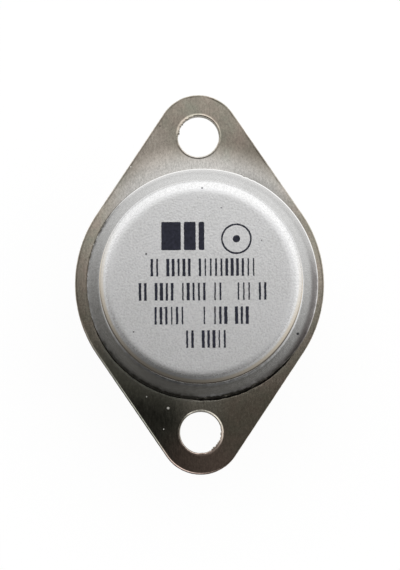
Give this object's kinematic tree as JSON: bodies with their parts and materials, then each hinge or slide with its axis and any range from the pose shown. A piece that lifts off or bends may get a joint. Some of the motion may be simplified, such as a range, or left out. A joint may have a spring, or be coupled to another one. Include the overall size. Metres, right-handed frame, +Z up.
{
  "type": "metal-can power transistor",
  "caption": "Power transistor in a steel can: an oval two-hole mounting flange with a welded round cap on top and glass-sealed leads below.",
  "frame": {"origin": "middle of the two mounting holes, on the seating face under the flange", "axes": "+Z up through the cap, +Y along the line of the mounting holes, towards the side that the lead line is offset to; the leads point down -Z"},
  "size_m": [0.0254, 0.0386, 0.0204],
  "materials": {
    "header_plate": "satin nickel plate",
    "cap_shell": "matte nickel plate",
    "cap_ink": "dark stamped ink, a thin film",
    "lead_tin": "dipped in tin",
    "seal_glass": "dark fused glass",
    "copper": "satin copper",
    "braze": "satin braze",
    "solder": "dull solder",
    "silicon": "polished silicon with contact metal",
    "bond_aluminium": "drawn wire",
    "silicone": "cured silicone"
  },
  "bodies": {
    "root": {"header": "header_plate", "cap": "cap_shell", "emitter_seal": "seal_glass", "base_seal": "seal_glass", "emitter_lead": "lead_tin", "base_lead": "lead_tin", "spreader_braze": "braze", "heat_spreader": "copper", "die_solder": "solder", "die": "silicon", "emitter_wire_1": "bond_aluminium", "emitter_wire_2": "bond_aluminium", "base_wire": "bond_aluminium", "chip_coat": "silicone"}
  },
  "joints": []
}
